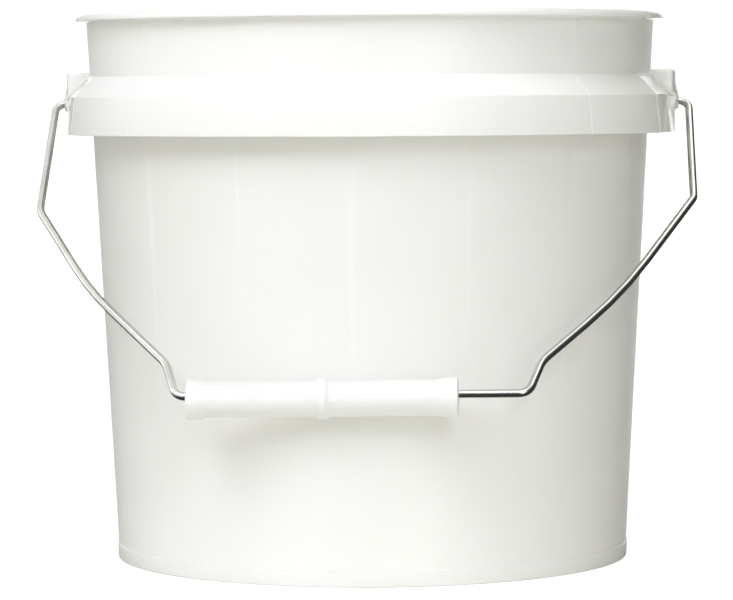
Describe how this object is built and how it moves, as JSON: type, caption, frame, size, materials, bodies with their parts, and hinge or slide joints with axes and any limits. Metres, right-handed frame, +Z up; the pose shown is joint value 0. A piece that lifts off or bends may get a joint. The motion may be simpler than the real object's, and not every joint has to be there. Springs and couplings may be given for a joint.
{
  "type": "paint bucket",
  "caption": "Open tapered plastic paint pail with a lipped rim, a hollow skirt, moulded ears and a swinging wire bail with a turning grip.",
  "frame": {"origin": "centre of the foot ring, in the plane that the pail stands on", "axes": "+Z up along the pail's axis, the ears on +X and -X, and the bail hanging in front on -Y"},
  "size_m": [0.2274, 0.2134, 0.19],
  "materials": {
    "pail_plastic": "moulded white polyethylene, satin",
    "bail_wire": "drawn steel wire, zinc plated",
    "grip_plastic": "moulded white polyethylene, satin"
  },
  "bodies": {
    "pail": {"pail": "pail_plastic"},
    "bail": {"bail": "bail_wire"},
    "grip": {"grip": "grip_plastic"}
  },
  "joints": [
    {"name": "bail_swing", "type": "hinge", "parent": "pail", "child": "bail", "pos_m": [0, 0, 0.15925], "axis": [-1, 0, 0], "range_deg": [0, 267]},
    {"name": "grip_spin", "type": "hinge", "parent": "bail", "child": "grip", "pos_m": [-0.00947, -0.09962, 0.06338], "axis": [0.9999, 0.0101, 0.0096], "continuous": true}
  ]
}
